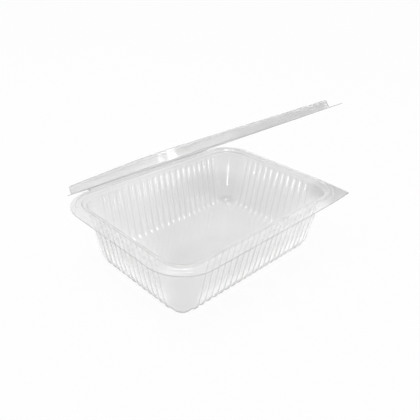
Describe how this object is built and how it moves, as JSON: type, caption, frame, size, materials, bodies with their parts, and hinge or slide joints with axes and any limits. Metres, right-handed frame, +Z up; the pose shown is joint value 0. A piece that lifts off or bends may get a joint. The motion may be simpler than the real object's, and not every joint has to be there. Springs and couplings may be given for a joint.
{
  "type": "clamshell food pack",
  "caption": "Clear plastic food pack: a tub with ribbed sloping walls and a stepped rim, a shallow lid hinged along one long side, and a pointed pull tab at a corner.",
  "frame": {"origin": "middle of the underside of the tub's floor, on the surface the pack stands on", "axes": "+Z up, +X along the crease that joins tub and lid, +Y towards the crease; the pull tab is at the +X, -Y corner"},
  "size_m": [0.18, 0.1344, 0.1187],
  "materials": {
    "tub_plastic": "glossy, clear",
    "lid_plastic": "glossy, clear"
  },
  "bodies": {
    "tub": {"tub": "tub_plastic"},
    "lid": {"lid": "lid_plastic"}
  },
  "joints": [
    {"name": "lid_hinge", "type": "hinge", "parent": "tub", "child": "lid", "pos_m": [0, 0.0674, 0.0478], "axis": [-1, 0, 0], "range_deg": [-30, 150]}
  ]
}
